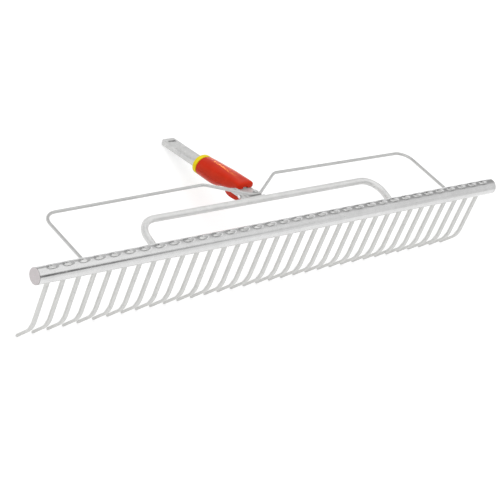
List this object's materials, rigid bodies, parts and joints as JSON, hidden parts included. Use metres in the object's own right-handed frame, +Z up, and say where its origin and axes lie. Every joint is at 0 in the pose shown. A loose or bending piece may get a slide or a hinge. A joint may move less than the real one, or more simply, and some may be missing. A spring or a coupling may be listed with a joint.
{
  "type": "rake head",
  "caption": "Wide lawn rake head: a steel tube with a row of bent round tines, a rod loop, a wire bail and a plug-in handle coupling with a release lever.",
  "frame": {"origin": "middle of the underside of the bounding box, on the floor that the tine tips and the free end of the tongue rest on", "axes": "+X along the beam, +Y from the beam towards the long handle, +Z up"},
  "size_m": [0.596, 0.1942, 0.0986],
  "materials": {
    "galvanised_steel": "bright zinc plated, satin",
    "spring_steel": "plain, satin",
    "grey_cap_plastic": "moulded, matt, slightly pink grey",
    "red_plastic": "moulded, half gloss",
    "yellow_plastic": "moulded, half gloss"
  },
  "bodies": {
    "head": {"beam_tube": "galvanised_steel", "tine_01": "galvanised_steel", "tine_02": "galvanised_steel", "tine_03": "galvanised_steel", "tine_04": "galvanised_steel", "tine_05": "galvanised_steel", "tine_06": "galvanised_steel", "tine_07": "galvanised_steel", "tine_08": "galvanised_steel", "tine_09": "galvanised_steel", "tine_10": "galvanised_steel", "tine_11": "galvanised_steel", "tine_12": "galvanised_steel", "tine_13": "galvanised_steel", "tine_14": "galvanised_steel", "tine_15": "galvanised_steel", "tine_16": "galvanised_steel", "tine_17": "galvanised_steel", "tine_18": "galvanised_steel", "tine_19": "galvanised_steel", "tine_20": "galvanised_steel", "tine_21": "galvanised_steel", "tine_22": "galvanised_steel", "tine_23": "galvanised_steel", "tine_24": "galvanised_steel", "tine_25": "galvanised_steel", "tine_26": "galvanised_steel", "tine_27": "galvanised_steel", "tine_28": "galvanised_steel", "tine_29": "galvanised_steel", "tine_30": "galvanised_steel", "tine_31": "galvanised_steel", "tine_32": "galvanised_steel", "tine_33": "galvanised_steel", "tine_34": "galvanised_steel", "stay_loop": "galvanised_steel", "catch_bail": "galvanised_steel", "tongue": "galvanised_steel", "neck_plate": "galvanised_steel", "neck_rivet_front": "galvanised_steel", "neck_rivet_rear": "galvanised_steel", "lever_pin": "galvanised_steel", "latch_spring": "spring_steel", "end_cap_left": "grey_cap_plastic", "end_cap_right": "grey_cap_plastic", "shell_upper": "red_plastic", "shell_lower": "red_plastic", "collar": "yellow_plastic"},
    "lever": {"release_lever": "red_plastic", "latch_blade": "spring_steel", "blade_rivet": "galvanised_steel"}
  },
  "joints": [
    {"name": "release_lever_hinge", "type": "hinge", "parent": "head", "child": "lever", "pos_m": [0, -0.02033, 0.0609], "axis": [1, 0, 0], "range_deg": [0, 6], "stiffness_Nm_per_rad": 0.6, "springref_deg": -4.58, "deforming": ["latch_spring"]}
  ]
}
